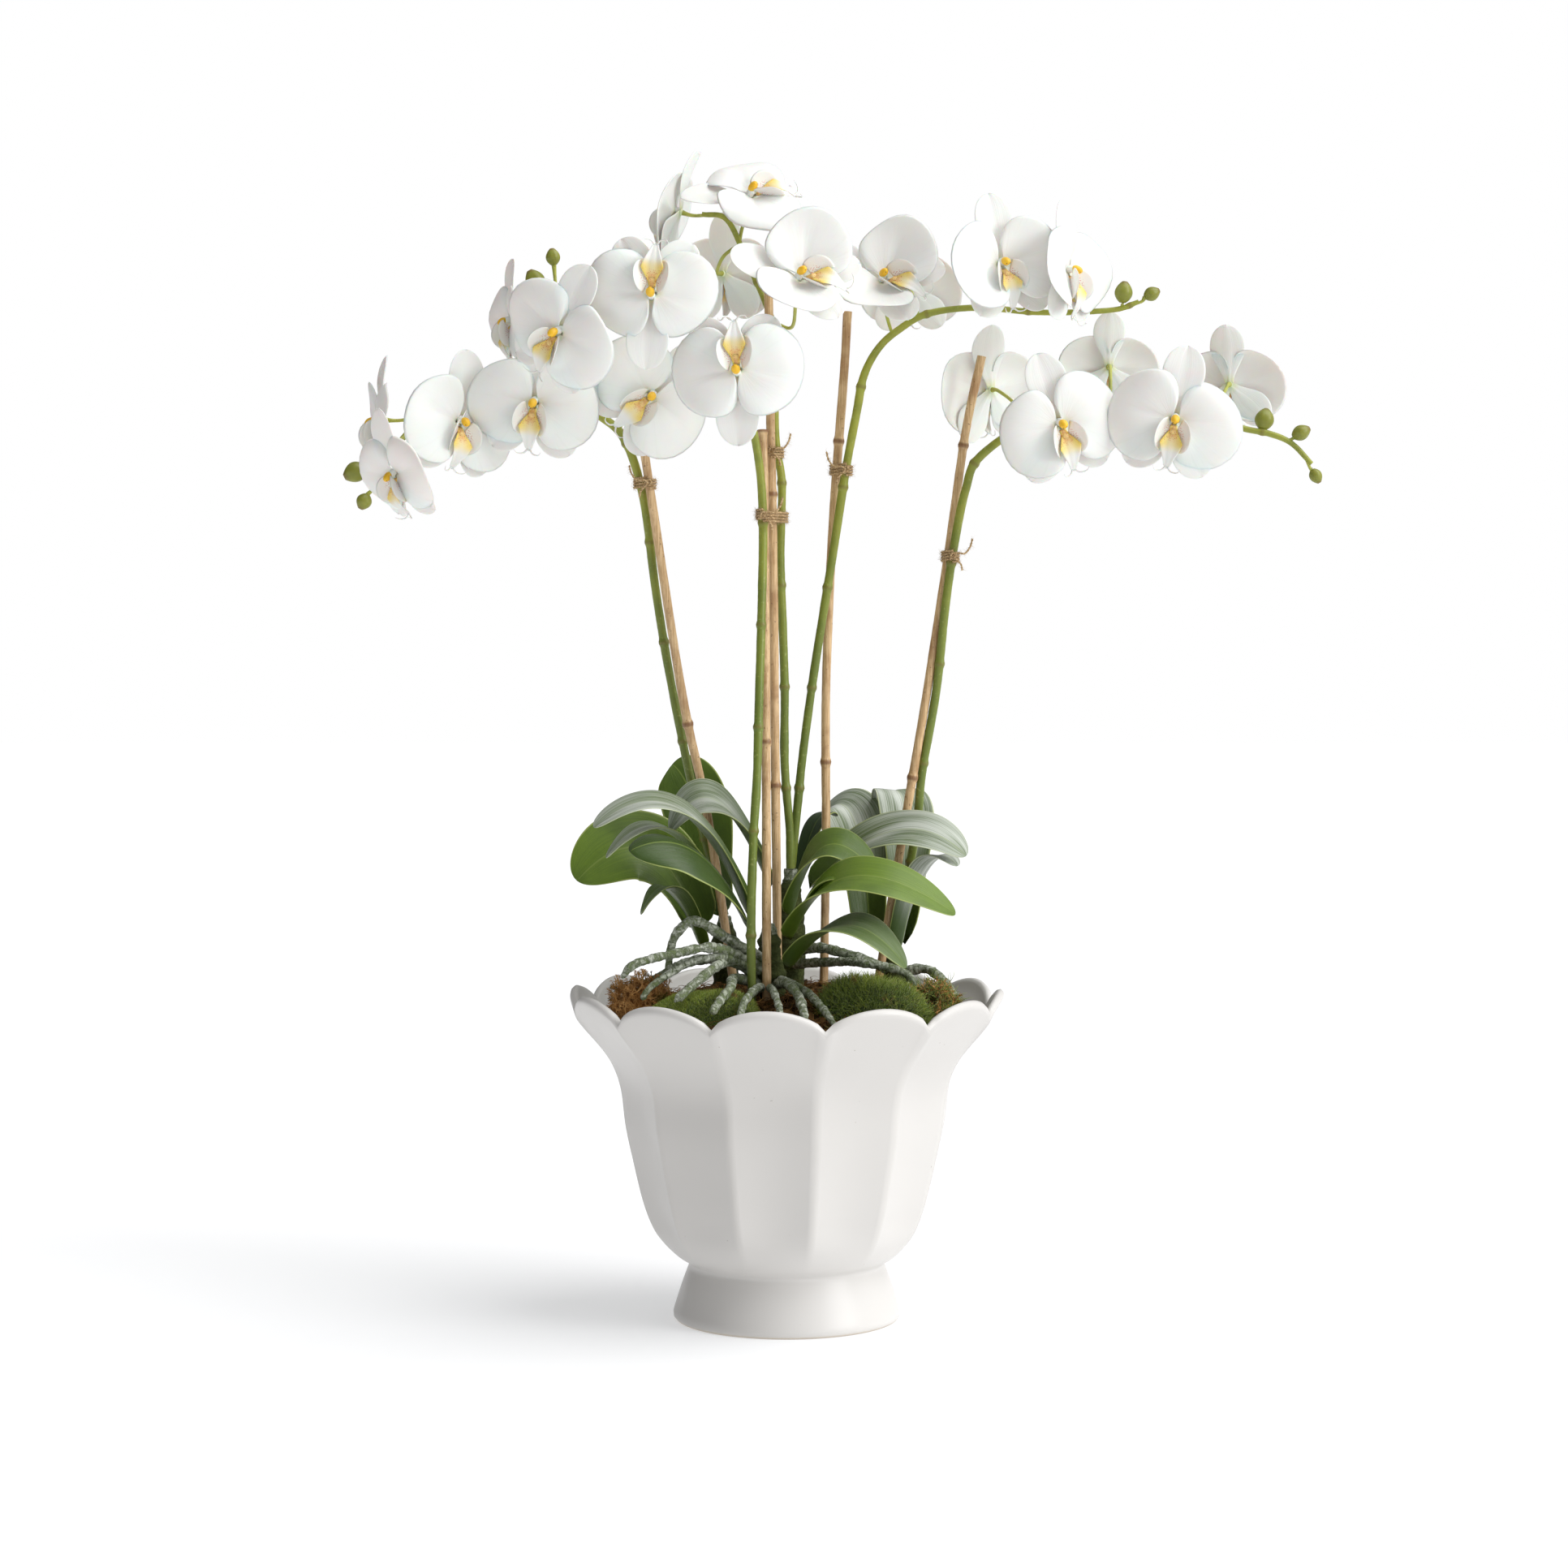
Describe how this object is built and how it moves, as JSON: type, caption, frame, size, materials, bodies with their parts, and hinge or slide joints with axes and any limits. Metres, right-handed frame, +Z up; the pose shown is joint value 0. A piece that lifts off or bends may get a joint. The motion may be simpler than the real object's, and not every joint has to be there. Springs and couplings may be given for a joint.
{
  "type": "potted orchid",
  "caption": "Moth orchids in a fluted footed bowl: arching flower spikes tied to bamboo stakes over strap leaves, aerial roots and moss.",
  "frame": {"origin": "middle of the flat underside of the pot's foot", "axes": "+Z up along the pot's axis, -Y toward the front that the most open flowers face, +X to the right as seen from the front"},
  "size_m": [0.7227, 0.3212, 0.8633],
  "materials": {
    "white_glaze": "satin white glaze on ceramic",
    "bark": "rough chopped bark and coir",
    "green_moss": "soft green sheet and cushion moss",
    "reindeer_moss": "dry orange-brown reindeer moss",
    "root": "matt knobbly grey-green root skin",
    "leaf": "satin waxy leaf",
    "stem": "smooth satin green stem",
    "bamboo": "peeled bamboo cane",
    "jute_twine": "hairy twisted jute",
    "petal": "soft white petal with yellow and rose-spotted lip"
  },
  "bodies": {
    "root": {"crown_front": "root", "crown_left": "root", "crown_middle": "root", "crown_right": "root", "flower_01_a": "petal", "flower_02_a": "petal", "flower_03_a": "petal", "flower_04_a": "petal", "flower_05_b": "petal", "flower_06_b": "petal", "flower_07_b": "petal", "flower_08_a": "petal", "flower_09_b": "petal", "flower_10_c": "petal", "flower_11_c": "petal", "flower_12_c": "petal", "flower_13_c": "petal", "flower_14_d": "petal", "flower_15_d": "petal", "flower_16_d": "petal", "flower_17_d": "petal", "flower_18_e": "petal", "flower_19_e": "petal", "flower_20_e": "petal", "flower_21_e": "petal", "flower_22_e": "petal", "flower_spike_a": "stem", "flower_spike_b": "stem", "flower_spike_c": "stem", "flower_spike_d": "stem", "flower_spike_e": "stem", "growing_medium": "bark", "leaf_back_left": "leaf", "leaf_back_middle": "leaf", "leaf_back_right": "leaf", "leaf_back_upright": "leaf", "leaf_left_broad": "leaf", "leaf_left_folded": "leaf", "leaf_left_long": "leaf", "leaf_left_narrow": "leaf", "leaf_middle_left": "leaf", "leaf_right_low": "leaf", "leaf_right_lower": "leaf", "leaf_right_middle": "leaf", "leaf_right_silvery": "leaf", "leaf_right_upper": "leaf", "moss_left": "green_moss", "moss_right": "green_moss", "pot": "white_glaze", "reindeer_moss": "reindeer_moss", "stake_a": "bamboo", "stake_b": "bamboo", "stake_c": "bamboo", "stake_d": "bamboo", "stake_e": "bamboo", "tie_a": "jute_twine", "tie_b": "jute_twine", "tie_c": "jute_twine", "tie_d": "jute_twine", "tie_e": "jute_twine"}
  },
  "joints": []
}
